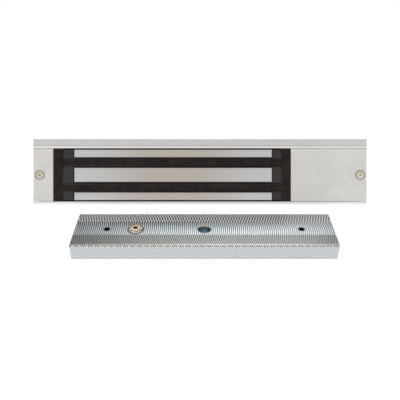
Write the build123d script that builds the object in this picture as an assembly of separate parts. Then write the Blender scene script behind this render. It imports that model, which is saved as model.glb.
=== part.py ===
from build123d import *
import math
import os

# Magnetic door lock: electromagnet in an aluminium channel, with its armature plate.
# Millimetres. The origin is the middle of the mounting plate's upper face, which
# meets the door header. +Z is up, +X runs along the lock, -Y faces the door.

# Lock body envelope
LOCK_LENGTH = 250.0
LOCK_DEPTH = 25.0
PLATE_THICKNESS = 5.0
HOUSING_HEIGHT = 43.5
FRONT_Y = -LOCK_DEPTH / 2
BACK_Y = LOCK_DEPTH / 2
HOUSING_TOP_Z = -PLATE_THICKNESS
HOUSING_BOTTOM_Z = HOUSING_TOP_Z - HOUSING_HEIGHT
HOUSING_MID_Z = (HOUSING_TOP_Z + HOUSING_BOTTOM_Z) / 2

# Housing channel
WALL = 1.8
BACK_WALL = 2.0
EDGE_BREAK = 0.3
LIP_RADIUS = 0.5
INNER_TOP_Z = HOUSING_TOP_Z - WALL
INNER_BOTTOM_Z = HOUSING_BOTTOM_Z + WALL
INNER_BACK_Y = BACK_Y - BACK_WALL

# Mounting plate
HEADER_SCREW_XS = (-90.0, -30.0, 30.0, 90.0)
HEADER_SCREW_RADIUS = 2.6
HEADER_SCREW_HEAD_RADIUS = 5.0
HEADER_SLOT_XS = (-60.0, 60.0)
HEADER_SLOT_LENGTH = 12.0
BODY_SCREW_XS = (-115.0, 76.5)
BODY_SCREW_RADIUS = 2.5
BODY_SCREW_HEAD_RADIUS = 4.25
BODY_SCREW_HEAD_HEIGHT = 5.0
BODY_SCREW_KEY = 4.0
THREAD_GAP = 0.03

# Cable entry
CABLE_X = 105.0
CABLE_RADIUS = 3.5
GROMMET_WALL = 1.2
GROMMET_FLANGE = 1.6

# Covers
WINDOW_LEFT_X = -110.2
WINDOW_RIGHT_X = 68.2
COVER_THICKNESS = 2.0
COVER_FIT = 0.1
COVER_EDGE_RADIUS = 0.35
COVER_FLANGE_DEPTH = 5.0
COVER_FLANGE_THICKNESS = 1.2
COVER_SCREW_INSET = 4.85
COVER_RECESS_RADIUS = 3.9
COVER_RECESS_DEPTH = 1.2
COVER_SCREW_HEAD_RADIUS = 2.85
COVER_SCREW_HEAD_HEIGHT = 1.5
COVER_SCREW_RADIUS = 1.5
COVER_SCREW_LENGTH = 9.0
COVER_SCREW_TURNS = (28.0, 62.0)
COVER_POST_RADIUS = 2.8
COVER_POST_SPIGOT_RADIUS = 1.8

# Magnet core
CORE_LEFT_X = -94.2
CORE_LENGTH = 148.0
CORE_RIGHT_X = CORE_LEFT_X + CORE_LENGTH
CORE_MID_X = (CORE_LEFT_X + CORE_RIGHT_X) / 2
MIDDLE_POLE_HEIGHT = 10.4
OUTER_POLE_HEIGHT = 5.6
SLOT_HEIGHT = 8.1
CORE_HEIGHT = MIDDLE_POLE_HEIGHT + 2 * (OUTER_POLE_HEIGHT + SLOT_HEIGHT)
CORE_DEPTH = 22.0
YOKE_DEPTH = 6.0
CORE_BACK_Y = FRONT_Y + CORE_DEPTH
SLOT_FLOOR_Y = CORE_BACK_Y - YOKE_DEPTH

# Pole liners and coil
LINER_WALL = 1.2
LINER_OUTER_SKIN = 0.2
LINER_RECESS = 0.15
LINER_LEFT_BLOCK = 8.7
LINER_RIGHT_BLOCK = 7.2
LINER_CORNER_RADIUS = 1.8
BOBBIN_FLANGE = 1.0
WINDING_GAP = 0.05
WINDING_DEPTH = 9.6
WINDING_THICKNESS = SLOT_HEIGHT - 2 * LINER_WALL - 2 * WINDING_GAP
RESIN_RECESS = 1.2
LINER_FRONT_RADIUS = 0.6
DAM_THICKNESS = 0.5

# Wiring compartment
BOARD_WIDTH = 34.0
BOARD_HEIGHT = 33.0
BOARD_THICKNESS = 1.6
BOARD_MID_X = 99.5
BOARD_STANDOFF = 4.0
BOARD_SCREW_INSET = 3.5
BOARD_SCREW_RADIUS = 1.25
BOARD_SCREW_HEAD_RADIUS = 2.4
BOARD_SCREW_HEAD_HEIGHT = 1.6
BOARD_FRONT_Y = INNER_BACK_Y - BOARD_STANDOFF - BOARD_THICKNESS
TERMINAL_WAYS = 4
TERMINAL_PITCH = 5.0
TERMINAL_HEIGHT = 9.0
TERMINAL_DEPTH = 10.0
TERMINAL_SCREW_RADIUS = 1.6
VARISTOR_RADIUS = 4.5
VARISTOR_THICKNESS = 3.6
HEADER_PITCH = 2.54
HEADER_COLUMNS = 4
LEAD_RADIUS = 0.8
LEAD_BEND_RADIUS = 3.2
LEAD_HEIGHTS = (-21.0, -24.5)

# Armature plate, in its own frame: contact face up at zero height, far edge at +Y
ARMATURE_LENGTH = 182.0
ARMATURE_WIDTH = 38.0
ARMATURE_THICKNESS = 12.0
ARMATURE_CORNER_RADIUS = 1.2
ARMATURE_EDGE_CHAMFER = 0.6
ARMATURE_HOLE_RADIUS = 4.5
ARMATURE_HOLE_CHAMFER = 0.25
ARMATURE_TILT = 33.0
FAR_EDGE_Y = -22.5
FAR_EDGE_Z = -55.6
ARMATURE_SHIFT = 3.0
GUIDE_PIN_X = 68.0
GUIDE_PIN_RADIUS = 2.5
GUIDE_PIN_REACH = 8.5
GUIDE_PIN_CHAMFER = 0.4
GUIDE_PIN_SUNK = 4.0
GUIDE_SHANK_RADIUS = 2.25

# Anti-residual-magnetism plunger
PLUNGER_X = -48.0
PLUNGER_POCKET_RADIUS = 5.6
PLUNGER_POCKET_DEPTH = 5.0
PLUNGER_BACK_RADIUS = 4.6
PLUNGER_BACK_DEPTH = 3.2
PLUNGER_BORE_RADIUS = 2.6
BUTTON_RADIUS = 5.15
BUTTON_PROUD = 1.1
BUTTON_HEIGHT = 2.7
BUTTON_DOME = 1.0
BUTTON_GROOVE = 0.5
RIVET_SHANK_RADIUS = 2.5
RIVET_BORE_RADIUS = 1.75
RIVET_HEAD_RADIUS = 3.3
RIVET_HEAD_HEIGHT = 0.7
CLIP_RADIUS = 4.2
CLIP_THICKNESS = 0.7
SPRING_WIRE_RADIUS = 0.25
SPRING_TURNS = 3.5


def block(x0, x1, y0, y1, z0, z1):
    """A box between the stated limits."""
    size = Box(x1 - x0, y1 - y0, z1 - z0)
    return Pos((x0 + x1) / 2, (y0 + y1) / 2, (z0 + z1) / 2) * size


def upright(x, y, z0, z1, radius):
    """A cylinder along Z between two heights."""
    return Pos(x, y, (z0 + z1) / 2) * Cylinder(radius, z1 - z0)


def inward(x, z, y0, y1, radius):
    """A cylinder along Y between two depths."""
    return Pos(x, (y0 + y1) / 2, z) * Rot(90, 0, 0) * Cylinder(radius, y1 - y0)


def mounting_plate():
    plate = block(-LOCK_LENGTH / 2, LOCK_LENGTH / 2, FRONT_Y, BACK_Y, HOUSING_TOP_Z, 0)
    plate = chamfer(plate.edges().filter_by(Axis.X), EDGE_BREAK)
    below = HOUSING_TOP_Z - 1
    sink = HEADER_SCREW_HEAD_RADIUS - HEADER_SCREW_RADIUS
    for x in HEADER_SCREW_XS:
        plate -= upright(x, 0, below, 1, HEADER_SCREW_RADIUS)
        cone = Cone(HEADER_SCREW_HEAD_RADIUS, HEADER_SCREW_RADIUS, sink)
        plate -= Pos(x, 0, HOUSING_TOP_Z + sink / 2) * cone
    for x in HEADER_SLOT_XS:
        outline = SlotOverall(HEADER_SLOT_LENGTH, 2 * HEADER_SCREW_RADIUS)
        plate -= Pos(x, 0, below) * extrude(outline, PLATE_THICKNESS + 2)
    for x in BODY_SCREW_XS:
        plate -= upright(x, 0, below, 1, BODY_SCREW_RADIUS)
    plate -= upright(CABLE_X, 0, below, 1, CABLE_RADIUS + GROMMET_WALL)
    return plate


def housing():
    half = LOCK_LENGTH / 2
    body = block(-half, half, FRONT_Y, BACK_Y, HOUSING_BOTTOM_Z, HOUSING_TOP_Z)
    body -= block(-half - 1, half + 1, FRONT_Y - 1, INNER_BACK_Y, INNER_BOTTOM_Z, INNER_TOP_Z)
    long_edges = body.edges().filter_by(Axis.X)
    front_edges = long_edges.group_by(Axis.Y)[0]
    body = fillet(front_edges, LIP_RADIUS)
    back_edges = body.edges().filter_by(Axis.X).group_by(Axis.Y)[-1]
    body = chamfer(back_edges, EDGE_BREAK)
    for x in BODY_SCREW_XS:
        body -= upright(x, 0, INNER_TOP_Z - 1, HOUSING_TOP_Z + 1, BODY_SCREW_RADIUS + 0.2)
        body -= upright(x, 0, HOUSING_BOTTOM_Z - 1, INNER_BOTTOM_Z + 1, BODY_SCREW_HEAD_RADIUS)
    body -= upright(CABLE_X, 0, INNER_TOP_Z - 1, HOUSING_TOP_Z + 1, CABLE_RADIUS + GROMMET_WALL)
    for x in cover_screw_xs():
        body -= inward(x, HOUSING_MID_Z, INNER_BACK_Y - 1, BACK_Y + 1, COVER_POST_SPIGOT_RADIUS)
    return body


def cover_screw_xs():
    reach = LOCK_LENGTH / 2 - COVER_SCREW_INSET
    return (-reach, reach)


def cover(edge_x, end_x, flanged):
    """A front panel with an end wall, and return flanges when it spans the wiring."""
    x0, x1 = min(edge_x, end_x), max(edge_x, end_x)
    side = 1 if end_x > 0 else -1
    z0 = INNER_BOTTOM_Z + COVER_FIT
    z1 = INNER_TOP_Z - COVER_FIT
    panel = block(x0, x1, FRONT_Y, FRONT_Y + COVER_THICKNESS, z0, z1)
    panel = fillet(panel.edges().group_by(Axis.Y)[0], COVER_EDGE_RADIUS)
    inner = FRONT_Y + COVER_THICKNESS / 2
    wall_x = end_x - side * COVER_THICKNESS
    wall = block(min(wall_x, end_x), max(wall_x, end_x), inner, INNER_BACK_Y - COVER_FIT, z0, z1)
    shell = panel + wall
    if flanged:
        near = BODY_SCREW_XS[1] + BODY_SCREW_HEAD_RADIUS + COVER_FLANGE_THICKNESS
        far = end_x - COVER_THICKNESS / 2
        depth = inner + COVER_FLANGE_DEPTH
        shell += block(near, far, inner, depth, z0, z0 + COVER_FLANGE_THICKNESS)
        shell += block(near, far, inner, depth, z1 - COVER_FLANGE_THICKNESS, z1)
    screw_x = end_x - side * COVER_SCREW_INSET
    floor = FRONT_Y + COVER_RECESS_DEPTH
    shell -= inward(screw_x, HOUSING_MID_Z, FRONT_Y - 1, floor, COVER_RECESS_RADIUS)
    shell -= inward(screw_x, HOUSING_MID_Z, floor - 1, inner + 2, COVER_SCREW_RADIUS + COVER_FIT)
    return shell


def cross_recess(size, depth, arm):
    """A cross recess cut from zero height downward."""
    bars = Box(size, arm, depth) + Box(arm, size, depth)
    return Pos(0, 0, -depth / 2) * bars


def facing_out(x, z, y):
    """Places a shape built with its head up so that the head faces the door."""
    return Pos(x, y, z) * Rot(90, 0, 0)


def cover_screws():
    screws = []
    for x, turn in zip(cover_screw_xs(), COVER_SCREW_TURNS):
        top = COVER_SCREW_HEAD_HEIGHT
        head = upright(0, 0, 0, top, COVER_SCREW_HEAD_RADIUS)
        head = fillet(head.edges().group_by(Axis.Z)[-1], 0.8)
        shank = upright(0, 0, -COVER_SCREW_LENGTH, top / 2, COVER_SCREW_RADIUS - THREAD_GAP)
        recess = cross_recess(3.4, 1.0, 0.9) + Pos(0, 0, -0.45) * Cone(0.4, 0.9, 0.9)
        screw = head + shank - Pos(0, 0, top) * Rot(0, 0, turn) * recess
        screws.append(facing_out(x, HOUSING_MID_Z, FRONT_Y + COVER_RECESS_DEPTH) * screw)
    return Compound(screws)


def cover_posts():
    posts = []
    front = FRONT_Y + COVER_THICKNESS
    for x in cover_screw_xs():
        post = inward(x, HOUSING_MID_Z, front, INNER_BACK_Y, COVER_POST_RADIUS)
        post += inward(x, HOUSING_MID_Z, INNER_BACK_Y - 1, BACK_Y - EDGE_BREAK, COVER_POST_SPIGOT_RADIUS)
        post -= inward(x, HOUSING_MID_Z, front - 1, front + COVER_SCREW_LENGTH, COVER_SCREW_RADIUS)
        posts.append(post)
    return Compound(posts)


def pole_half_limits():
    """Heights from the core's middle to the inner and outer edges of an outer pole."""
    inner = MIDDLE_POLE_HEIGHT / 2 + SLOT_HEIGHT
    return inner, inner + OUTER_POLE_HEIGHT


def core_laminations():
    half = CORE_HEIGHT / 2
    z = HOUSING_MID_Z
    core = block(CORE_LEFT_X, CORE_RIGHT_X, FRONT_Y, CORE_BACK_Y, z - half, z + half)
    inner = pole_half_limits()[0]
    middle = MIDDLE_POLE_HEIGHT / 2
    for low, high in ((middle, inner), (-inner, -middle)):
        core -= block(CORE_LEFT_X - 1, CORE_RIGHT_X + 1, FRONT_Y - 1, SLOT_FLOOR_Y, z + low, z + high)
    return core


def rounded_slab(x0, x1, z0, z1, y0, y1, radius):
    """A slab across the depth, its four corners rounded as seen from the door."""
    slab = block(x0, x1, y0, y1, z0, z1)
    return fillet(slab.edges().filter_by(Axis.Y), radius)


def liner_ends():
    return CORE_LEFT_X - LINER_LEFT_BLOCK, CORE_RIGHT_X + LINER_RIGHT_BLOCK


def soften_front(shape, radius):
    """Rounds the outer rim of the face nearest the door."""
    face = shape.faces().sort_by(Axis.Y)[0]
    return fillet(face.outer_wire().edges(), radius)


def pole_liner(side):
    """The moulding around one outer pole; side is +1 for the upper pole, -1 for the lower."""
    inner, outer = pole_half_limits()
    x0, x1 = liner_ends()
    low = HOUSING_MID_Z + side * (inner - LINER_WALL)
    high = HOUSING_MID_Z + side * (outer + LINER_OUTER_SKIN)
    front = FRONT_Y + LINER_RECESS
    z0, z1 = min(low, high), max(low, high)
    body = rounded_slab(x0, x1, z0, z1, front, SLOT_FLOOR_Y, LINER_CORNER_RADIUS)
    body = soften_front(body, LINER_FRONT_RADIUS)
    edge_a = HOUSING_MID_Z + side * inner
    edge_b = HOUSING_MID_Z + side * outer
    z2, z3 = min(edge_a, edge_b), max(edge_a, edge_b)
    body -= block(CORE_LEFT_X, CORE_RIGHT_X, front - 1, SLOT_FLOOR_Y + 1, z2, z3)
    return body


def winding_outline(grow):
    """Limits of the coil seen from the door, grown outward by the given amount."""
    x0, x1 = liner_ends()
    half = MIDDLE_POLE_HEIGHT / 2 + LINER_WALL + grow
    return x0 - grow, x1 + grow, HOUSING_MID_Z - half, HOUSING_MID_Z + half


def coil_bobbin():
    front = FRONT_Y + LINER_RECESS
    x0, x1, z0, z1 = winding_outline(0)
    body = rounded_slab(x0, x1, z0, z1, front, SLOT_FLOOR_Y, LINER_CORNER_RADIUS)
    body = soften_front(body, LINER_FRONT_RADIUS)
    grow = WINDING_GAP + WINDING_THICKNESS
    fx0, fx1, fz0, fz1 = winding_outline(grow)
    flange_y = SLOT_FLOOR_Y - BOBBIN_FLANGE
    corner = LINER_CORNER_RADIUS + grow
    body += rounded_slab(fx0, fx1, fz0, fz1, flange_y, SLOT_FLOOR_Y, corner)
    half = MIDDLE_POLE_HEIGHT / 2
    z2, z3 = HOUSING_MID_Z - half, HOUSING_MID_Z + half
    body -= block(CORE_LEFT_X, CORE_RIGHT_X, front - 1, SLOT_FLOOR_Y + 1, z2, z3)
    return body


def coil_winding():
    back = SLOT_FLOOR_Y - BOBBIN_FLANGE
    front = back - WINDING_DEPTH
    grow = WINDING_GAP + WINDING_THICKNESS
    x0, x1, z0, z1 = winding_outline(grow)
    outer = rounded_slab(x0, x1, z0, z1, front, back, LINER_CORNER_RADIUS + grow)
    x2, x3, z2, z3 = winding_outline(WINDING_GAP)
    hollow_radius = LINER_CORNER_RADIUS + WINDING_GAP
    return outer - rounded_slab(x2, x3, z2, z3, front - 1, back + 1, hollow_radius)


def lead_depth():
    """Depth at which the leads leave the winding."""
    return SLOT_FLOOR_Y - BOBBIN_FLANGE - WINDING_DEPTH / 2


def coil_lead(z):
    """One lead from the winding to its solder pad, at height z."""
    start_x = winding_outline(WINDING_GAP + WINDING_THICKNESS)[1] + 0.1
    pad_x = BOARD_MID_X - BOARD_WIDTH / 2 + 2.0
    y = lead_depth()
    path = FilletPolyline((start_x, y, z), (pad_x, y, z), (pad_x, BOARD_FRONT_Y, z), radius=LEAD_BEND_RADIUS)
    return sweep(Plane(origin=path @ 0, z_dir=path % 0) * Circle(LEAD_RADIUS), path)


def lead_channel(x0, x1, radius):
    """Straight passages for both leads between two stations."""
    middle = (x0 + x1) / 2
    rod = Rot(0, 90, 0) * Cylinder(radius, x1 - x0)
    return [Pos(middle, lead_depth(), z) * rod for z in LEAD_HEIGHTS]


def potting_resin(neighbours):
    front = FRONT_Y + RESIN_RECESS
    resin = block(WINDOW_LEFT_X, WINDOW_RIGHT_X, front, INNER_BACK_Y, INNER_BOTTOM_Z, INNER_TOP_Z)
    for solid in neighbours:
        resin -= solid
    start_x = winding_outline(WINDING_GAP + WINDING_THICKNESS)[1]
    for rod in lead_channel(start_x, WINDOW_RIGHT_X + 1, LEAD_RADIUS + 0.15):
        resin -= rod
    return resin


def potting_dams():
    z0, z1 = INNER_BOTTOM_Z, INNER_TOP_Z
    front = FRONT_Y + COVER_THICKNESS + COVER_FIT
    left = block(WINDOW_LEFT_X - DAM_THICKNESS, WINDOW_LEFT_X, front, INNER_BACK_Y, z0, z1)
    right = block(WINDOW_RIGHT_X, WINDOW_RIGHT_X + DAM_THICKNESS, front, INNER_BACK_Y, z0, z1)
    for rod in lead_channel(WINDOW_RIGHT_X - 1, WINDOW_RIGHT_X + 2, LEAD_RADIUS + 0.2):
        right -= rod
    return Compound([left, right])


def body_screws():
    screws = []
    for x in BODY_SCREW_XS:
        low = INNER_TOP_Z - BODY_SCREW_HEAD_HEIGHT
        screw = upright(x, 0, low, INNER_TOP_Z, BODY_SCREW_HEAD_RADIUS)
        screw = chamfer(screw.edges().group_by(Axis.Z)[0], 0.4)
        screw += upright(x, 0, INNER_TOP_Z - 1, -0.5, BODY_SCREW_RADIUS - THREAD_GAP)
        socket = extrude(RegularPolygon(BODY_SCREW_KEY / math.sqrt(3), 6), 2.8)
        screw -= Pos(x, 0, low) * socket
        screws.append(screw)
    return Compound(screws)


def access_plugs():
    plugs = []
    for x in BODY_SCREW_XS:
        radius = BODY_SCREW_HEAD_RADIUS - 0.05
        plug = upright(x, 0, HOUSING_BOTTOM_Z, INNER_BOTTOM_Z + 0.8, radius)
        plug -= upright(x, 0, HOUSING_BOTTOM_Z + 1.0, INNER_BOTTOM_Z + 2, radius - 0.8)
        plug = fillet(plug.edges().group_by(Axis.Z)[0], 0.3)
        plugs.append(plug)
    return Compound(plugs)


def cable_grommet():
    inside = INNER_TOP_Z - GROMMET_FLANGE
    sleeve = upright(CABLE_X, 0, inside, 0, CABLE_RADIUS + GROMMET_WALL)
    sleeve += upright(CABLE_X, 0, inside, INNER_TOP_Z, CABLE_RADIUS + GROMMET_WALL + GROMMET_FLANGE)
    return sleeve - upright(CABLE_X, 0, inside - 1, 1, CABLE_RADIUS)


def board_corners():
    half_x = BOARD_WIDTH / 2 - BOARD_SCREW_INSET
    half_z = BOARD_HEIGHT / 2 - BOARD_SCREW_INSET
    return [(BOARD_MID_X + sx * half_x, HOUSING_MID_Z + sz * half_z) for sx in (-1, 1) for sz in (-1, 1)]


def circuit_board():
    x0, x1 = BOARD_MID_X - BOARD_WIDTH / 2, BOARD_MID_X + BOARD_WIDTH / 2
    z0, z1 = HOUSING_MID_Z - BOARD_HEIGHT / 2, HOUSING_MID_Z + BOARD_HEIGHT / 2
    board = block(x0, x1, BOARD_FRONT_Y, BOARD_FRONT_Y + BOARD_THICKNESS, z0, z1)
    for x, z in board_corners():
        board -= inward(x, z, BOARD_FRONT_Y - 1, INNER_BACK_Y, BOARD_SCREW_RADIUS + 0.15)
    return board


def board_standoffs():
    back = BOARD_FRONT_Y + BOARD_THICKNESS
    posts = []
    for x, z in board_corners():
        post = inward(x, z, back, INNER_BACK_Y, BOARD_SCREW_RADIUS + 1.25)
        posts.append(post - inward(x, z, back - 1, INNER_BACK_Y - 0.5, BOARD_SCREW_RADIUS))
    return Compound(posts)


def board_screws():
    screws = []
    for x, z in board_corners():
        top = BOARD_FRONT_Y - BOARD_SCREW_HEAD_HEIGHT
        screw = inward(x, z, top, BOARD_FRONT_Y, BOARD_SCREW_HEAD_RADIUS)
        screw += inward(x, z, BOARD_FRONT_Y - 1, INNER_BACK_Y - 1, BOARD_SCREW_RADIUS - THREAD_GAP)
        screw -= facing_out(x, z, top) * cross_recess(2.6, 0.9, 0.6)
        screws.append(screw)
    return Compound(screws)


def terminal_xs():
    first = BOARD_MID_X - (TERMINAL_WAYS - 1) / 2 * TERMINAL_PITCH
    return [first + i * TERMINAL_PITCH for i in range(TERMINAL_WAYS)]


TERMINAL_MID_Z = HOUSING_MID_Z + 9.0


def terminal_block():
    half = TERMINAL_WAYS * TERMINAL_PITCH / 2
    z0, z1 = TERMINAL_MID_Z - TERMINAL_HEIGHT / 2, TERMINAL_MID_Z + TERMINAL_HEIGHT / 2
    front = BOARD_FRONT_Y - TERMINAL_DEPTH
    body = block(BOARD_MID_X - half, BOARD_MID_X + half, front, BOARD_FRONT_Y, z0, z1)
    body = chamfer(body.edges().filter_by(Axis.X).group_by(Axis.Y)[0], 0.8)
    for x in terminal_xs():
        body -= inward(x, TERMINAL_MID_Z, front - 1, front + 4, TERMINAL_SCREW_RADIUS + 0.2)
        body -= block(x - 1.6, x + 1.6, front + 4.8, front + 8.2, TERMINAL_MID_Z + 0.5, z1 + 1)
    return body


def terminal_screws():
    front = BOARD_FRONT_Y - TERMINAL_DEPTH
    screws = []
    for x in terminal_xs():
        screw = inward(x, TERMINAL_MID_Z, front + 1.2, front + 4, TERMINAL_SCREW_RADIUS)
        screw -= block(x - 2, x + 2, front + 1, front + 1.9, TERMINAL_MID_Z - 0.3, TERMINAL_MID_Z + 0.3)
        screws.append(screw)
    return Compound(screws)


def surge_varistor():
    x, z = BOARD_MID_X - 8.0, HOUSING_MID_Z - 5.5
    y = BOARD_FRONT_Y - VARISTOR_RADIUS - 1.2
    disc = Pos(x, y, z) * Cylinder(VARISTOR_RADIUS, VARISTOR_THICKNESS)
    disc = fillet(disc.edges(), 1.0)
    for side in (-1, 1):
        disc += inward(x + side * 2.5, z, y, BOARD_FRONT_Y, 0.35)
    return disc


def header_pins():
    first = BOARD_MID_X + 1.0
    base_z = HOUSING_MID_Z - 7.0
    return [
        (first + i * HEADER_PITCH, base_z + j * HEADER_PITCH)
        for i in range(HEADER_COLUMNS)
        for j in range(2)
    ]


def voltage_header():
    pins = header_pins()
    pad = HEADER_PITCH / 2
    x0, x1 = pins[0][0] - pad, pins[-1][0] + pad
    z0, z1 = pins[0][1] - pad, pins[-1][1] + pad
    body = block(x0, x1, BOARD_FRONT_Y - 2.5, BOARD_FRONT_Y, z0, z1)
    for x, z in pins:
        body += block(x - 0.32, x + 0.32, BOARD_FRONT_Y - 8.5, BOARD_FRONT_Y - 2, z - 0.32, z + 0.32)
    return body


def voltage_jumpers():
    pins = header_pins()
    caps = []
    for column in (0, 2):
        low, high = pins[2 * column], pins[2 * column + 1]
        pad = HEADER_PITCH / 2 - 0.1
        back = BOARD_FRONT_Y - 2.6
        cap = block(low[0] - pad, low[0] + pad, back - 6.5, back, low[1] - pad, high[1] + pad)
        for x, z in (low, high):
            cap -= block(x - 0.4, x + 0.4, back - 6.0, back + 1, z - 0.4, z + 0.4)
        caps.append(cap)
    return Compound(caps)


def armature_frame():
    """Placement of the armature plate, hanging open below and in front of the lock."""
    tilt = math.radians(ARMATURE_TILT)
    y = FAR_EDGE_Y - ARMATURE_WIDTH / 2 * math.cos(tilt)
    z = FAR_EDGE_Z - ARMATURE_WIDTH / 2 * math.sin(tilt)
    return Pos(ARMATURE_SHIFT, y, z) * Rot(ARMATURE_TILT, 0, 0)


def armature_plate():
    plate = Pos(0, 0, -ARMATURE_THICKNESS / 2) * Box(ARMATURE_LENGTH, ARMATURE_WIDTH, ARMATURE_THICKNESS)
    plate = fillet(plate.edges().filter_by(Axis.Z), ARMATURE_CORNER_RADIUS)
    rims = plate.faces().sort_by(Axis.Z)
    rim_edges = rims[0].outer_wire().edges() + rims[-1].outer_wire().edges()
    plate = chamfer(rim_edges, ARMATURE_EDGE_CHAMFER)
    floor = -ARMATURE_THICKNESS
    plate -= upright(0, 0, floor - 1, 1, ARMATURE_HOLE_RADIUS)
    mouth = ARMATURE_HOLE_RADIUS + ARMATURE_HOLE_CHAMFER
    plate -= Pos(0, 0, -ARMATURE_HOLE_CHAMFER / 2) * Cone(ARMATURE_HOLE_RADIUS, mouth, ARMATURE_HOLE_CHAMFER)
    for x in (-GUIDE_PIN_X, GUIDE_PIN_X):
        plate -= upright(x, 0, floor - 1, 1, GUIDE_SHANK_RADIUS)
    plate -= upright(PLUNGER_X, 0, -PLUNGER_POCKET_DEPTH, 1, PLUNGER_POCKET_RADIUS)
    plate -= upright(PLUNGER_X, 0, floor - 1, 0, PLUNGER_BORE_RADIUS)
    plate -= upright(PLUNGER_X, 0, floor - 1, floor + PLUNGER_BACK_DEPTH, PLUNGER_BACK_RADIUS)
    return plate


def guide_pins():
    """Two shouldered pins, their shanks pressed in the plate from the back."""
    pins = []
    back = -ARMATURE_THICKNESS
    for x in (-GUIDE_PIN_X, GUIDE_PIN_X):
        pin = upright(x, 0, back - GUIDE_PIN_REACH, back, GUIDE_PIN_RADIUS)
        pin = chamfer(pin.edges().group_by(Axis.Z)[0], GUIDE_PIN_CHAMFER)
        pins.append(pin + upright(x, 0, back, -GUIDE_PIN_SUNK, GUIDE_SHANK_RADIUS))
    return Compound(pins)


def plunger_button():
    low = BUTTON_PROUD - BUTTON_HEIGHT
    button = upright(PLUNGER_X, 0, low, BUTTON_PROUD, BUTTON_RADIUS)
    button = fillet(button.edges().group_by(Axis.Z)[-1], BUTTON_DOME)
    seat = RIVET_HEAD_RADIUS + BUTTON_GROOVE
    button -= upright(PLUNGER_X, 0, BUTTON_PROUD - RIVET_HEAD_HEIGHT, BUTTON_PROUD + 1, seat)
    return button - upright(PLUNGER_X, 0, low - 1, BUTTON_PROUD, RIVET_SHANK_RADIUS)


def rivet_foot():
    """Height of the rivet's lower end, flared under the clip."""
    return -ARMATURE_THICKNESS + PLUNGER_BACK_DEPTH - CLIP_THICKNESS - 0.6


def plunger_rivet():
    seat = BUTTON_PROUD - RIVET_HEAD_HEIGHT
    rivet = upright(PLUNGER_X, 0, rivet_foot(), BUTTON_PROUD, RIVET_SHANK_RADIUS)
    head = upright(PLUNGER_X, 0, seat, BUTTON_PROUD + 0.1, RIVET_HEAD_RADIUS)
    rivet += fillet(head.edges().group_by(Axis.Z)[-1], 0.35)
    rivet += upright(PLUNGER_X, 0, rivet_foot(), rivet_foot() + 0.6, RIVET_SHANK_RADIUS + 0.5)
    rivet -= upright(PLUNGER_X, 0, rivet_foot() - 1, BUTTON_PROUD + 1, RIVET_BORE_RADIUS)
    return rivet


def plunger_clip():
    top = -ARMATURE_THICKNESS + PLUNGER_BACK_DEPTH
    clip = upright(PLUNGER_X, 0, top - CLIP_THICKNESS, top, CLIP_RADIUS)
    return clip - upright(PLUNGER_X, 0, top - 1 - CLIP_THICKNESS, top + 1, RIVET_SHANK_RADIUS)


def plunger_spring():
    low = -PLUNGER_POCKET_DEPTH + SPRING_WIRE_RADIUS
    high = BUTTON_PROUD - BUTTON_HEIGHT - SPRING_WIRE_RADIUS
    radius = (PLUNGER_POCKET_RADIUS + RIVET_SHANK_RADIUS) / 2
    path = Helix((high - low) / SPRING_TURNS, high - low, radius, center=(PLUNGER_X, 0, low))
    return sweep(Plane(origin=path @ 0, z_dir=path % 0) * Circle(SPRING_WIRE_RADIUS), path)


def build():
    """All pieces by node name, in the shared frame."""
    half = LOCK_LENGTH / 2
    core = core_laminations()
    bobbin = coil_bobbin()
    winding = coil_winding()
    upper_liner = pole_liner(1)
    lower_liner = pole_liner(-1)
    lock = {
        "mounting_plate": mounting_plate(),
        "housing": housing(),
        "left_cover": cover(WINDOW_LEFT_X, -half, False),
        "right_cover": cover(WINDOW_RIGHT_X, half, True),
        "cover_screws": cover_screws(),
        "cover_posts": cover_posts(),
        "core_laminations": core,
        "coil_bobbin": bobbin,
        "coil_winding": winding,
        "pole_liner_upper": upper_liner,
        "pole_liner_lower": lower_liner,
        "potting_resin": potting_resin([core, bobbin, winding, upper_liner, lower_liner]),
        "potting_dams": potting_dams(),
        "circuit_board": circuit_board(),
        "board_standoffs": board_standoffs(),
        "board_screws": board_screws(),
        "terminal_block": terminal_block(),
        "terminal_screws": terminal_screws(),
        "surge_varistor": surge_varistor(),
        "voltage_header": voltage_header(),
        "voltage_jumpers": voltage_jumpers(),
        "coil_lead_red": coil_lead(LEAD_HEIGHTS[0]),
        "coil_lead_black": coil_lead(LEAD_HEIGHTS[1]),
        "body_screws": body_screws(),
        "access_plugs": access_plugs(),
        "cable_grommet": cable_grommet(),
    }
    armature = {
        "armature_plate": armature_plate(),
        "guide_pins": guide_pins(),
        "plunger_button": plunger_button(),
        "plunger_rivet": plunger_rivet(),
        "plunger_clip": plunger_clip(),
        "plunger_spring": plunger_spring(),
    }
    frame = armature_frame()
    for name, shape in armature.items():
        lock[name] = frame * shape
    return lock


os.makedirs("parts", exist_ok=True)
for node, solid in build().items():
    export_step(solid, f"parts/{node}.step")
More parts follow.
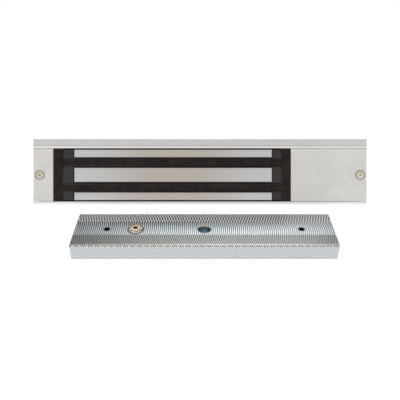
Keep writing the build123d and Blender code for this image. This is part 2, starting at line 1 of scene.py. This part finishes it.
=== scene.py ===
import bpy
import math
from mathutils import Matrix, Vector


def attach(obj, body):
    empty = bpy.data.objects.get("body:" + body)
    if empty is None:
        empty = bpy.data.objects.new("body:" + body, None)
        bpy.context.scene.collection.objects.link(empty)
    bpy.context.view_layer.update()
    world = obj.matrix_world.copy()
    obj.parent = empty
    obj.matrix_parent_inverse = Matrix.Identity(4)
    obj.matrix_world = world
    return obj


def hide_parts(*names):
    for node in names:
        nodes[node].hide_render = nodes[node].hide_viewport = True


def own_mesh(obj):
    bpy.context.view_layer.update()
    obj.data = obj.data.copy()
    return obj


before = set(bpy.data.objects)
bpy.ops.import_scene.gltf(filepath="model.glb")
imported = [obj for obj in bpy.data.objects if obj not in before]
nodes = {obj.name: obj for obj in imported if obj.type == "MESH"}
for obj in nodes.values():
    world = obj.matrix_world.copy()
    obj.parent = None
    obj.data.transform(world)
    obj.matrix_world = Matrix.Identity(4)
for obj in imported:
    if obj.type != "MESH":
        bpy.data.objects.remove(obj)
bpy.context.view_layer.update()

# ---- places on the lock, in metres ---------------------------------------------------
FRONT_Y = -0.0125            # front of the housing and covers
RESIN_Y = -0.0113            # face of the cast resin
MID_Z = -0.02675             # level of the middle pole and of the cover screws
COVER_SCREW_X = 0.12015
COVER_RECESS_RADIUS = 0.00395
SCREW_RECESS_RADIUS = 0.0021
WINDOW = (-0.1102, 0.0682, -0.0467, -0.0068)     # left, right, bottom, top
POLE_LEFT, POLE_RIGHT = -0.0942, 0.0538
POLE_MID_X = (POLE_LEFT + POLE_RIGHT) / 2
POLE_HALF = (POLE_RIGHT - POLE_LEFT) / 2
BLOCK_LEFT, BLOCK_RIGHT = 0.0087, 0.0072         # moulding past the ends of the poles
BLOCK_CORNER = 0.0018
MIDDLE_BLOCK_HALF = 0.0064
OUTER_BLOCK_NEAR, OUTER_BLOCK_FAR = 0.0121, 0.0191

# ---- places on the armature plate, in metres -----------------------------------------
TILT = math.radians(33.0)
PLATE_HALF_DEPTH = 0.019
PLATE_THICKNESS = 0.012
ARMATURE_SHIFT = 0.003       # sideways from the middle of the lock
FAR_EDGE_Y, FAR_EDGE_Z = -0.0225, -0.0556
PLATE_MID_Y = FAR_EDGE_Y - PLATE_HALF_DEPTH * math.cos(TILT)
PLATE_MID_Z = FAR_EDGE_Z - PLATE_HALF_DEPTH * math.sin(TILT)
PLATE_MID = Vector((ARMATURE_SHIFT, PLATE_MID_Y, PLATE_MID_Z))   # middle of the contact face
PLATE_ALONG = Vector((1, 0, 0))
PLATE_ACROSS = Vector((0.0, math.cos(TILT), math.sin(TILT)))
PLATE_NORMAL = Vector((0.0, -math.sin(TILT), math.cos(TILT)))
BROKEN_EDGE = 0.00065        # depth of the broken edge round the contact face
BOLT_HOLE_RADIUS = 0.00462   # out to the middle of its chamfer
PIN_X, PIN_HOLE_RADIUS = 0.068, 0.0024
PLUNGER_X = -0.048
POCKET_RADIUS = 0.0056
POCKET_DEPTH = 0.005
BUTTON_PROUD, BUTTON_HEIGHT = 0.0011, 0.0027
RIVET_RADIUS = 0.0025
PLATE_HOLES = (              # place along the plate, and radius
    (0.0, BOLT_HOLE_RADIUS),
    (-PIN_X, PIN_HOLE_RADIUS),
    (PIN_X, PIN_HOLE_RADIUS),
    (PLUNGER_X, POCKET_RADIUS),
)

# ---- the face cutter's passes over the plate -----------------------------------------
CUTTER_CENTRE = 0.0005
CUTTER_RADIUS, CUTTER_FEED = 0.052, 0.00142
FAR_RADIUS, FAR_FEED = 0.050, 0.0019
SIDE_FEED = 0.0021
NICK_SPACING = 0.0047
FAR_PASS, NEAR_PASS, FRONT_STRIP = 0.0085, -0.0065, -0.0168      # where each starts
PAST_PLATE = 0.030


# ---- shader nodes --------------------------------------------------------------------
class Graph:
    """Short names for adding nodes to one shader tree."""

    def __init__(self, tree):
        self.tree = tree

    def feed(self, socket, value):
        """Links an output to a socket, or sets the socket to a number, vector or colour."""
        if isinstance(value, bpy.types.NodeSocket):
            self.tree.links.new(value, socket)
        elif isinstance(value, tuple):
            socket.default_value = (*value, 1.0)
        else:
            socket.default_value = value

    def ramp(self, value, low, high, out_low=0.0, out_high=1.0):
        """Maps low to high onto another range, held at its ends."""
        made = self.tree.nodes.new("ShaderNodeMapRange")
        made.inputs["From Min"].default_value = low
        made.inputs["From Max"].default_value = high
        made.inputs["To Min"].default_value = out_low
        made.inputs["To Max"].default_value = out_high
        self.feed(made.inputs["Value"], value)
        return made.outputs["Result"]

    def calc(self, operation, *values):
        made = self.tree.nodes.new("ShaderNodeMath")
        made.operation = operation
        for socket, value in zip(made.inputs, values):
            self.feed(socket, value)
        return made.outputs["Value"]

    def add(self, a, b):
        return self.calc("ADD", a, b)

    def subtract(self, a, b):
        return self.calc("SUBTRACT", a, b)

    def multiply(self, a, b):
        return self.calc("MULTIPLY", a, b)

    def squares(self, a, b):
        return self.add(self.multiply(a, a), self.multiply(b, b))

    def gap(self, value, place):
        """Distance of a value from a place, on either side."""
        return self.calc("ABSOLUTE", self.subtract(value, place))

    def wave(self, value, length):
        """A sine of the stated wavelength."""
        return self.calc("SINE", self.multiply(value, 2 * math.pi / length))

    def band(self, value, low, high, soft):
        """1 between two limits, falling to 0 over a soft edge at each."""
        rise = self.ramp(value, low - soft, low + soft)
        fall = self.ramp(value, high - soft, high + soft, 1.0, 0.0)
        return self.multiply(rise, fall)

    def mix(self, factor, a, b, blend="MIX"):
        """Goes from colour a to colour b as the factor goes from 0 to 1."""
        made = self.tree.nodes.new("ShaderNodeMix")
        made.data_type = "RGBA"
        made.blend_type = blend
        self.feed(made.inputs["Factor"], factor)
        self.feed(made.inputs["A"], a)
        self.feed(made.inputs["B"], b)
        return made.outputs["Result"]

    def mix_values(self, factor, a, b):
        made = self.tree.nodes.new("ShaderNodeMix")
        self.feed(made.inputs["Factor"], factor)
        self.feed(made.inputs["A"], a)
        self.feed(made.inputs["B"], b)
        return made.outputs["Result"]

    def separate(self, vector):
        made = self.tree.nodes.new("ShaderNodeSeparateXYZ")
        self.feed(made.inputs["Vector"], vector)
        return made.outputs["X"], made.outputs["Y"], made.outputs["Z"]

    def noise(self, vector, scale, detail=2.0, roughness=0.5):
        made = self.tree.nodes.new("ShaderNodeTexNoise")
        made.inputs["Scale"].default_value = scale
        made.inputs["Detail"].default_value = detail
        made.inputs["Roughness"].default_value = roughness
        self.feed(made.inputs["Vector"], vector)
        return made.outputs["Fac"]


class Finish(Graph):
    """One material: its principled shader and the nodes that feed it."""

    def __init__(self, name, color, metallic=0.0, roughness=0.5, specular=None):
        self.material = bpy.data.materials.new(name)
        self.material.use_nodes = True
        super().__init__(self.material.node_tree)
        self.put("Base Color", color)
        self.put("Metallic", metallic)
        self.put("Roughness", roughness)
        if specular is not None:
            self.put("Specular IOR Level", specular)

    def put(self, name, value):
        """Sets or links one input of the shader."""
        self.feed(self.tree.nodes["Principled BSDF"].inputs[name], value)

    def position(self, scale=(1, 1, 1)):
        """Object-space position in metres, stretched by a scale."""
        source = self.tree.nodes.new("ShaderNodeTexCoord")
        mapping = self.tree.nodes.new("ShaderNodeMapping")
        mapping.inputs["Scale"].default_value = scale
        self.feed(mapping.inputs["Vector"], source.outputs["Object"])
        return mapping.outputs["Vector"]

    def relief(self, height, strength, distance, edge=0.0):
        """Bumps the surface, and rounds sharp edges to a radius so that they catch light."""
        bump = self.tree.nodes.new("ShaderNodeBump")
        bump.inputs["Distance"].default_value = distance
        self.feed(bump.inputs["Strength"], strength)
        self.feed(bump.inputs["Height"], height)
        self.put("Normal", bump.outputs["Normal"])
        if edge > 0:
            bevel = self.tree.nodes.new("ShaderNodeBevel")
            bevel.samples = 4
            bevel.inputs["Radius"].default_value = edge
            self.feed(bump.inputs["Normal"], bevel.outputs["Normal"])


def shaded(color, factor):
    """The colour made darker or lighter, at most white."""
    return tuple(min(1.0, channel * factor) for channel in color)


# ---- materials of the lock -----------------------------------------------------------
def round_cover_screws(finish, where, radius, depth):
    """1 inside a radius of either cover screw's axis and behind a plane, otherwise 0."""
    x, y, z = finish.separate(where)
    gap_x = finish.subtract(finish.calc("ABSOLUTE", x), COVER_SCREW_X)
    gap_z = finish.subtract(z, MID_Z)
    inside = finish.calc("LESS_THAN", finish.squares(gap_x, gap_z), radius * radius)
    return finish.multiply(inside, finish.calc("GREATER_THAN", y, depth))


def blasted_aluminium(name, color, grain=1.0, front_highlight=None, counterbore_shade=None):
    """Sandblasted, clear-anodised aluminium; the optional front colour is painted on the front faces
    of the walls as a painted highlight, and the optional counterbore colour is painted shade round
    the cover screws.
    """
    metal = Finish(name, color, metallic=0.55)
    where = metal.position()
    fine = metal.noise(where, 2600.0, detail=2.0, roughness=0.7)
    speck = metal.noise(where, 950.0, detail=3.0, roughness=0.65)
    cloud = metal.noise(where, 60.0, detail=3.0, roughness=0.6)
    tint = metal.calc("MULTIPLY_ADD", speck, 0.75, metal.multiply(cloud, 0.25))
    dark, light = shaded(color, 1.0 - 0.13 * grain), shaded(color, 1.12)
    base = metal.mix(metal.ramp(tint, 0.34, 0.66), dark, light)
    # painted highlight: a lighter colour on the front faces of the walls
    if front_highlight is not None:
        _, depth, _ = metal.separate(where)
        highlit_front = metal.ramp(depth, FRONT_Y + 0.00015, FRONT_Y + 0.00035, 1.0, 0.0)
        base = metal.mix(highlit_front, base, front_highlight)
    # painted shade: a warmer, slightly darker colour in the counterbores round the cover screws
    if counterbore_shade is not None:
        counterbore_shade_mask = round_cover_screws(metal, where, COVER_RECESS_RADIUS, FRONT_Y + 0.0003)
        base = metal.mix(counterbore_shade_mask, base, counterbore_shade)
    metal.put("Base Color", base)
    metal.put("Roughness", metal.ramp(speck, 0.3, 0.7, 0.40, 0.60))
    metal.relief(metal.calc("MULTIPLY_ADD", fine, 0.5, speck), 0.35 * grain, 0.00008, edge=0.0002)
    return metal.material


def ground_steel(name, color):
    """Surface-ground core steel: fine scratches along the length, faint heat tint at mid-length."""
    steel = Finish(name, color, metallic=0.85, roughness=0.38)
    lines = steel.noise(steel.position((4.0, 1500.0, 2600.0)), 1.0, detail=3.0, roughness=0.6)
    cloud = steel.noise(steel.position(), 45.0, detail=3.0)
    x, _, _ = steel.separate(steel.position())
    reach = steel.add(steel.gap(x, POLE_MID_X), steel.multiply(cloud, 0.012))
    warm = steel.ramp(reach, 0.030, 0.062, 1.0, 0.0)
    cool = steel.mix(steel.ramp(lines, 0.35, 0.65), shaded(color, 0.93), shaded(color, 1.05))
    steel.put("Base Color", steel.mix(warm, cool, (0.90, 0.835, 0.765), blend="MULTIPLY"))
    steel.put("Roughness", steel.ramp(lines, 0.3, 0.7, 0.30, 0.46))
    steel.relief(lines, 0.15, 0.00005, edge=0.0004)
    return steel.material


def pole_surround(name, color, film_color):
    """Grey moulding whose thin walls beside the poles carry a film of resin."""
    nylon = Finish(name, color, roughness=0.4, specular=0.28)
    where = nylon.position()
    fine = nylon.noise(where, 1300.0, detail=3.0)
    x, _, _ = nylon.separate(where)
    reach = nylon.gap(x, POLE_MID_X)
    film = nylon.ramp(reach, POLE_HALF + 0.0008, POLE_HALF + 0.0012, 1.0, 0.0)
    speckled = nylon.mix(nylon.ramp(fine, 0.3, 0.7), shaded(color, 0.8), shaded(color, 1.2))
    nylon.put("Base Color", nylon.mix(film, speckled, film_color))
    nylon.put("Roughness", nylon.ramp(film, 0.0, 1.0, 0.38, 0.16))
    nylon.relief(fine, 0.12, 0.00005)
    return nylon.material


def moulded(name, color, roughness):
    """Plastic, rubber, board or coating with a fine even texture."""
    plastic = Finish(name, color, roughness=roughness)
    fine = plastic.noise(plastic.position(), 1500.0, detail=3.0)
    plastic.put("Roughness", plastic.ramp(fine, 0.3, 0.7, roughness * 0.9, roughness * 1.12))
    plastic.relief(fine, 0.15, 0.00006, edge=0.0003)
    return plastic.material


def plain_metal(name, color, roughness, scratch=0.1, recess_shade=None):
    """Turned, drawn or plated metal; the optional recess colour is painted shade, darker and warm,
    inside the cover screws' drive recess.
    """
    metal = Finish(name, color, metallic=1.0, roughness=roughness)
    where = metal.position()
    fine = metal.noise(where, 1800.0, detail=3.0)
    if recess_shade is not None:
        # painted shade: a darker, warm colour inside the cover screws' drive recess
        inside = round_cover_screws(metal, where, SCREW_RECESS_RADIUS, FRONT_Y - 0.00012)
        metal.put("Base Color", metal.mix(inside, color, recess_shade))
    metal.put("Roughness", metal.ramp(fine, 0.3, 0.7, roughness * 0.85, roughness * 1.2))
    metal.relief(fine, scratch, 0.00004, edge=0.00015)
    return metal.material


def potting(name):
    """Cast epoxy: glossy and slightly uneven where flat, smoother where it climbs a wall."""
    epoxy = Finish(name, (0.014, 0.008, 0.007), roughness=0.14, specular=0.19)
    where = epoxy.position()
    slow = epoxy.noise(where, 160.0)
    fine = epoxy.noise(where, 900.0)
    tint = epoxy.mix(epoxy.ramp(slow, 0.35, 0.65), (0.008, 0.0045, 0.004), (0.019, 0.011, 0.009))
    epoxy.put("Base Color", tint)
    _, depth, _ = epoxy.separate(where)
    climb = epoxy.ramp(depth, RESIN_Y - 0.00015, RESIN_Y - 0.00005, 1.0, 0.0)
    flat = epoxy.subtract(1.0, climb)
    dull = epoxy.multiply(epoxy.ramp(fine, 0.3, 0.7, 0.12, 0.24), flat)
    epoxy.put("Roughness", epoxy.add(dull, epoxy.multiply(climb, 0.09)))
    epoxy.put("Specular IOR Level", epoxy.ramp(climb, 0.0, 1.0, 0.17, 0.5))
    height = epoxy.add(slow, epoxy.multiply(fine, 0.08))
    epoxy.relief(height, epoxy.calc("MULTIPLY_ADD", flat, 0.32, 0.03), 0.0004)
    return epoxy.material


# ---- material of the armature plate --------------------------------------------------
def plate_coordinates(plate):
    """Position along, across and above the contact face, in metres."""
    source = plate.tree.nodes.new("ShaderNodeTexCoord")
    shifted = plate.tree.nodes.new("ShaderNodeVectorMath")
    shifted.operation = "SUBTRACT"
    plate.feed(shifted.inputs[0], source.outputs["Object"])
    plate.feed(shifted.inputs[1], PLATE_MID)
    outputs = []
    for axis in (PLATE_ALONG, PLATE_ACROSS, PLATE_NORMAL):
        dot = plate.tree.nodes.new("ShaderNodeVectorMath")
        dot.operation = "DOT_PRODUCT"
        plate.feed(dot.inputs[0], shifted.outputs["Vector"])
        plate.feed(dot.inputs[1], axis)
        outputs.append(dot.outputs["Value"])
    return outputs


def cutter_marks(plate, along, across, radius, feed, side):
    """Ridges left by one side of a face cutter that travels along the plate, and the travel."""
    off = plate.subtract(across, CUTTER_CENTRE)
    reach = plate.subtract(radius * radius, plate.multiply(off, off))
    bow = plate.calc("SQRT", plate.calc("MAXIMUM", reach, 1e-6))
    travel = plate.calc("MULTIPLY_ADD", bow, -side, along)
    return plate.calc("MULTIPLY_ADD", plate.wave(travel, feed), 0.5, 0.5), travel


def crossed_marks(plate, along, across, radius, feed, low, high):
    """The lattice that the two sides of a cutter leave together."""
    lead, _ = cutter_marks(plate, along, across, radius, feed, 1.0)
    trail, _ = cutter_marks(plate, along, across, radius, feed, -1.0)
    return plate.ramp(plate.multiply(plate.add(lead, trail), 0.5), low, high)


def contact_face(plate, along, across):
    """Cutter passes side by side: arcs along the middle, lattices along both edges. The marks are
    real; their light and dark tones, and the tone of each pass, are painted reflection.
    """
    arcs, travel = cutter_marks(plate, along, across, CUTTER_RADIUS, CUTTER_FEED, 1.0)
    grain_at = plate.tree.nodes.new("ShaderNodeCombineXYZ")
    plate.feed(grain_at.inputs["X"], travel)
    plate.feed(grain_at.inputs["Y"], plate.multiply(across, 0.15))
    grain = plate.noise(grain_at.outputs["Vector"], 1400.0, detail=3.0, roughness=0.6)
    cloud = plate.noise(grain_at.outputs["Vector"], 70.0, detail=3.0)

    far = plate.band(across, FAR_PASS, PAST_PLATE, 0.0004)
    near = plate.band(across, -PAST_PLATE, NEAR_PASS, 0.0009)
    front = plate.band(across, -PAST_PLATE, FRONT_STRIP, 0.0005)
    lattice = crossed_marks(plate, along, across, CUTTER_RADIUS, CUTTER_FEED, 0.22, 0.72)
    far_lattice = crossed_marks(plate, along, across, FAR_RADIUS, FAR_FEED, 0.42, 0.53)
    crossed = plate.calc("MINIMUM", plate.add(far, near), 1.0)
    stroke = plate.mix_values(crossed, arcs, lattice)
    stroke = plate.add(stroke, plate.multiply(plate.subtract(grain, 0.5), 0.7))

    # painted reflection: light and dark colours on the ridges, and a tone for each pass
    tone = plate.mix(plate.ramp(stroke, 0.15, 0.85), (0.17, 0.195, 0.205), (0.90, 0.96, 0.99))
    near_ridges, front_ridges = plate.ramp(stroke, 0.1, 0.9), plate.ramp(stroke, 0.2, 0.8)
    for place, ridges, dark, light in (
        (far, far_lattice, (0.01, 0.013, 0.016), (1.0, 1.0, 1.0)),
        (near, near_ridges, (0.085, 0.094, 0.092), (0.40, 0.425, 0.41)),
        (front, front_ridges, (0.15, 0.155, 0.145), (0.80, 0.81, 0.785)),
    ):
        tone = plate.mix(place, tone, plate.mix(ridges, dark, light))
    tone = plate.mix(plate.ramp(cloud, 0.35, 0.65, 0.0, 0.14), tone, (0.35, 0.36, 0.36))
    return tone, stroke, grain, far


def plate_sides(plate, along, across, above, grain):
    """Sides lightly milled on the slant both ways, and a plain back."""
    around = plate.add(along, across)
    slant = plate.wave(plate.add(around, plate.multiply(above, 0.8)), SIDE_FEED)
    counter = plate.wave(plate.subtract(around, plate.multiply(above, 1.1)), SIDE_FEED)
    weave = plate.add(plate.add(slant, counter), plate.multiply(grain, 1.2))
    tone = plate.mix(plate.ramp(weave, -1.0, 2.2), (0.27, 0.30, 0.315), (0.71, 0.735, 0.74))
    low = plate.ramp(above, -PLATE_THICKNESS, -PLATE_THICKNESS + 0.0025, 0.35, 0.0)
    tone = plate.mix(low, tone, (0.52, 0.56, 0.60))
    on_back = plate.ramp(above, -PLATE_THICKNESS + 0.00004, -PLATE_THICKNESS + 0.0002, 1.0, 0.0)
    back = plate.mix(grain, (0.50, 0.53, 0.54), (0.70, 0.73, 0.74))
    return plate.mix(on_back, tone, back), weave, on_back


def broken_edge(plate, along, across, grain):
    """The edge round the contact face: darker and warmer, with bright nicks."""
    slanted = plate.add(along, plate.multiply(across, 1.5))
    nick = plate.ramp(plate.wave(slanted, NICK_SPACING), 0.80, 0.95)
    warm = plate.mix(grain, (0.34, 0.26, 0.18), (0.46, 0.38, 0.30))
    return plate.mix(nick, warm, (0.85, 0.86, 0.84))


def inside_holes(plate, along, across):
    """1 inside any hole of the plate, at every depth, otherwise 0."""
    found = 0.0
    for place, radius in PLATE_HOLES:
        distance = plate.calc("SQRT", plate.squares(plate.subtract(along, place), across))
        found = plate.calc("MAXIMUM", found, plate.calc("LESS_THAN", distance, radius))
    return found


def milled_plate(name):
    """Face-milled, zinc-plated steel."""
    plate = Finish(name, (0.6, 0.6, 0.6), metallic=1.0, roughness=0.3)
    along, across, above = plate_coordinates(plate)
    top, stroke, grain, far = contact_face(plate, along, across)
    sides, weave, on_back = plate_sides(plate, along, across, above, grain)
    on_top = plate.ramp(above, -0.00008, -0.00002)
    on_rim = plate.ramp(above, -BROKEN_EDGE - 0.00003, -BROKEN_EDGE + 0.00003)
    tone = plate.mix(on_rim, sides, broken_edge(plate, along, across, grain))
    tone = plate.mix(on_top, tone, top)

    # inside the holes a darker bluish colour is painted shade, and round the bolt hole's lip a warm
    # light colour is a painted highlight
    hole = inside_holes(plate, along, across)
    bore_shade = plate.multiply(hole, plate.calc("LESS_THAN", above, -0.00028))
    tone = plate.mix(bore_shade, tone, (0.17, 0.25, 0.285))
    near_middle = plate.calc("LESS_THAN", plate.calc("ABSOLUTE", along), BOLT_HOLE_RADIUS)
    depth = plate.band(above, -0.0015, -0.00004, 0.00002)
    # painted highlight: a warm light colour in the bolt hole's chamfer
    lip_highlight = plate.multiply(plate.multiply(hole, near_middle), depth)
    plate.put("Base Color", plate.mix(lip_highlight, tone, (1.0, 0.86, 0.70)))

    plate.put("Metallic", plate.ramp(plate.multiply(far, on_top), 0.0, 1.0, 1.0, 0.45))
    plate.put("Roughness", plate.ramp(grain, 0.3, 0.7, 0.26, 0.40))
    on_sides = plate.subtract(plate.subtract(1.0, on_rim), on_back)
    side_ridges = plate.multiply(weave, plate.multiply(on_sides, 0.06))
    height = plate.add(plate.multiply(stroke, on_top), side_ridges)
    plate.relief(height, 0.30, 0.00010, edge=0.0002)
    return plate.material


# ---- finishes of the CAD nodes -------------------------------------------------------
bar = blasted_aluminium("bar_aluminium", (0.575, 0.56, 0.55))
channel = blasted_aluminium("anodised_aluminium", (0.58, 0.565, 0.555), front_highlight=(0.76, 0.74, 0.72))
cover = blasted_aluminium("cover_aluminium", (0.64, 0.62, 0.60), 1.2, counterbore_shade=(0.66, 0.60, 0.485))
screw = plain_metal("screw_steel", (0.62, 0.61, 0.62), 0.30, scratch=0.03, recess_shade=(0.62, 0.43, 0.22))
grey = pole_surround("grey_moulding", (0.026, 0.021, 0.021), (0.006, 0.006, 0.007))
resin = potting("potting_epoxy")
nickel = plain_metal("plunger_nickel", (0.60, 0.535, 0.44), 0.22, scratch=0.03)
bright = plain_metal("terminal_steel", (0.72, 0.72, 0.72), 0.28)
spring_steel = plain_metal("spring_steel", (0.45, 0.45, 0.46), 0.32)

FINISHES = {
    "mounting_plate": bar,
    "housing": channel,
    "left_cover": cover,
    "right_cover": cover,
    "cover_screws": screw,
    "cover_posts": plain_metal("plain_aluminium", (0.68, 0.68, 0.68), 0.3),
    "core_laminations": ground_steel("core_steel", (0.535, 0.525, 0.515)),
    "coil_bobbin": grey,
    "pole_liner_upper": grey,
    "pole_liner_lower": grey,
    "coil_winding": plain_metal("enamelled_copper", (0.58, 0.22, 0.08), 0.25),
    "potting_resin": resin,
    "potting_dams": moulded("dam_board", (0.36, 0.26, 0.12), 0.6),
    "circuit_board": moulded("board_laminate", (0.012, 0.09, 0.035), 0.35),
    "board_standoffs": plain_metal("standoff_brass", (0.78, 0.56, 0.25), 0.25),
    "board_screws": bright,
    "terminal_block": moulded("terminal_plastic", (0.02, 0.12, 0.36), 0.35),
    "terminal_screws": bright,
    "surge_varistor": moulded("varistor_coating", (0.02, 0.07, 0.34), 0.3),
    "voltage_header": moulded("header_plastic", (0.012, 0.012, 0.012), 0.4),
    "voltage_jumpers": moulded("jumper_plastic", (0.45, 0.02, 0.015), 0.35),
    "coil_lead_red": moulded("lead_red", (0.42, 0.012, 0.01), 0.35),
    "coil_lead_black": moulded("lead_black", (0.01, 0.01, 0.01), 0.35),
    "body_screws": plain_metal("socket_screw_steel", (0.05, 0.05, 0.052), 0.4),
    "access_plugs": moulded("plug_plastic", (0.016, 0.016, 0.016), 0.4),
    "cable_grommet": moulded("grommet_rubber", (0.012, 0.012, 0.012), 0.6),
    "armature_plate": milled_plate("plated_plate_steel"),
    "guide_pins": plain_metal("pin_steel", (0.16, 0.16, 0.165), 0.36),
    "plunger_button": nickel,
    "plunger_rivet": nickel,
    "plunger_clip": spring_steel,
    "plunger_spring": spring_steel,
}
for name, finish in FINISHES.items():
    surface = nodes[name].data
    surface.materials.clear()
    surface.materials.append(finish)


# ---- pieces made here ----------------------------------------------------------------
def mesh_object(name, verts, faces, finish):
    mesh = bpy.data.meshes.new(name)
    mesh.from_pydata(verts, [], faces)
    mesh.update()
    made = bpy.data.objects.new(name, mesh)
    bpy.context.scene.collection.objects.link(made)
    mesh.materials.append(finish)
    return made


def rounded_loop(left, right, bottom, top, radius, steps=6):
    """Points round a rectangle with rounded corners, seen from the door."""
    x0, x1, z0, z1 = left + radius, right - radius, bottom + radius, top - radius
    points = []
    for x, z, start in ((x1, z1, 0), (x0, z1, 90), (x0, z0, 180), (x1, z0, 270)):
        for i in range(steps + 1):
            angle = math.radians(start + 90 * i / steps)
            points.append((x + radius * math.cos(angle), z + radius * math.sin(angle)))
    return points


def meniscus(name, box, corner, outward, rise=0.00085, reach=0.0012, steps=8):
    """Resin climbing a wall: a concave strip that runs round a rounded rectangle."""
    left, right, bottom, top = box
    sign = 1 if outward else -1
    loops = []
    for k in range(steps + 1):
        angle = math.radians(90 * k / steps)
        grow = reach * (1 - math.cos(angle)) * sign
        depth = RESIN_Y - rise * (1 - math.sin(angle)) + 0.00002
        radius = max(corner + grow, 0.00005)
        outline = rounded_loop(left - grow, right + grow, bottom - grow, top + grow, radius)
        loops.append([(x, depth, z) for x, z in outline])
    count = len(loops[0])
    faces = []
    for a in range(0, steps * count, count):
        b = a + count
        for i in range(count):
            j = (i + 1) % count
            quad = (a + i, a + j, b + j, b + i)
            faces.append(quad if outward else quad[::-1])
    made = mesh_object(name, sum(loops, []), faces, resin)
    made.data.polygons.foreach_set("use_smooth", [True] * len(faces))
    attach(made, "lock")


def block_face(bottom, top):
    """Outline of the moulding round a pole, between two heights above the middle level."""
    return POLE_LEFT - BLOCK_LEFT, POLE_RIGHT + BLOCK_RIGHT, MID_Z + bottom, MID_Z + top


middle_block = block_face(-MIDDLE_BLOCK_HALF, MIDDLE_BLOCK_HALF)
upper_block = block_face(OUTER_BLOCK_NEAR, OUTER_BLOCK_FAR)
lower_block = block_face(-OUTER_BLOCK_FAR, -OUTER_BLOCK_NEAR)
meniscus("resin_edge_middle", middle_block, BLOCK_CORNER, True)
meniscus("resin_edge_upper", upper_block, BLOCK_CORNER, True, reach=0.0008)
meniscus("resin_edge_lower", lower_block, BLOCK_CORNER, True, reach=0.0008)
meniscus("resin_edge_window", WINDOW, 0.0009, False, rise=0.0006, reach=0.0008)


def plunger_coil():
    """The coil under the plunger, from the pocket's seat up to the button's crown."""
    seat, crown = -POCKET_DEPTH, BUTTON_PROUD - BUTTON_HEIGHT
    wire, coil, turns = 0.00025, (POCKET_RADIUS + RIVET_RADIUS) / 2, 3.5
    low, high = seat + wire, crown - wire
    around, steps = 10, 84
    middle = PLATE_MID + PLATE_ALONG * PLUNGER_X
    verts, faces = [], []
    for i in range(steps + 1):
        angle = 2 * math.pi * turns * i / steps
        outward = PLATE_ALONG * math.cos(angle) + PLATE_ACROSS * math.sin(angle)
        at = middle + outward * coil + PLATE_NORMAL * (low + (high - low) * i / steps)
        for k in range(around):
            turn = 2 * math.pi * k / around
            verts.append(at + (outward * math.cos(turn) + PLATE_NORMAL * math.sin(turn)) * wire)
    for i in range(steps):
        for k in range(around):
            a, b = i * around + k, i * around + (k + 1) % around
            faces.append((a, b, b + around, a + around))
    faces.append(tuple(range(around))[::-1])
    faces.append(tuple(range(steps * around, (steps + 1) * around)))
    made = mesh_object("plunger_coil", verts, faces, spring_steel)
    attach(made, "armature")
    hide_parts("plunger_spring")
    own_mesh(made)


plunger_coil()


# ---- floor, light and camera ---------------------------------------------------------
FLOOR_Z = -0.16
AIM = Vector((0, 0, -0.04))      # where the lights point

paper = Finish("studio_paper", (0.93, 0.93, 0.93), roughness=0.9, specular=0.0)
paper.put("Emission Color", (1.0, 1.0, 1.0))
paper.put("Emission Strength", 0.56)
bpy.ops.mesh.primitive_plane_add(size=6.0, location=(0, 1.0, FLOOR_Z))
floor = bpy.context.object
floor.name = "studio_floor"
floor.data.materials.append(paper.material)

# the camera sees a white backdrop, and everything else a sky that dims upward
world = bpy.data.worlds.new("studio_world")
bpy.context.scene.world = world
world.use_nodes = True
sky = Graph(world.node_tree)
ambient = sky.tree.nodes["Background"]
_, _, height = sky.separate(sky.tree.nodes.new("ShaderNodeTexCoord").outputs["Generated"])
sky.feed(ambient.inputs["Strength"], sky.ramp(height, -0.1, 0.75, 1.0, 0.45))
sky.feed(ambient.inputs["Color"], (0.98, 0.99, 1.0))
white = sky.tree.nodes.new("ShaderNodeBackground")
sky.feed(white.inputs["Color"], (1.0, 1.0, 1.0))
pick = sky.tree.nodes.new("ShaderNodeMixShader")
path = sky.tree.nodes.new("ShaderNodeLightPath")
sky.feed(pick.inputs["Fac"], path.outputs["Is Camera Ray"])
sky.feed(pick.inputs[1], ambient.outputs["Background"])
sky.feed(pick.inputs[2], white.outputs["Background"])
sky.feed(sky.tree.nodes["World Output"].inputs["Surface"], pick.outputs["Shader"])


def softbox(name, centre, width, height, power):
    """A rectangular area light that points at the lock."""
    light = bpy.data.lights.new(name, "AREA")
    light.shape = "RECTANGLE"
    light.size = width
    light.size_y = height
    light.energy = power
    made = bpy.data.objects.new(name, light)
    bpy.context.scene.collection.objects.link(made)
    made.location = centre
    made.rotation_euler = (AIM - Vector(centre)).to_track_quat("-Z", "Y").to_euler()


softbox("key_light", (-0.5, -0.9, 0.7), 0.7, 0.7, 2.2)
softbox("fill_light", (0.7, -0.9, 0.1), 0.6, 0.6, 0.6)
softbox("top_light", (0.055, 0.35, 0.8), 0.56, 0.25, 1.28)

camera = bpy.data.cameras.new("camera")
camera.sensor_width = 36.0
camera.lens = 45.7
camera.clip_start = 0.01
viewpoint = bpy.data.objects.new("camera", camera)
bpy.context.scene.collection.objects.link(viewpoint)
viewpoint.location = (0.0, -0.3935, -0.0456)
viewpoint.rotation_euler = (math.radians(90), 0, 0)
bpy.context.scene.camera = viewpoint

bpy.context.scene.view_settings.view_transform = "Standard"
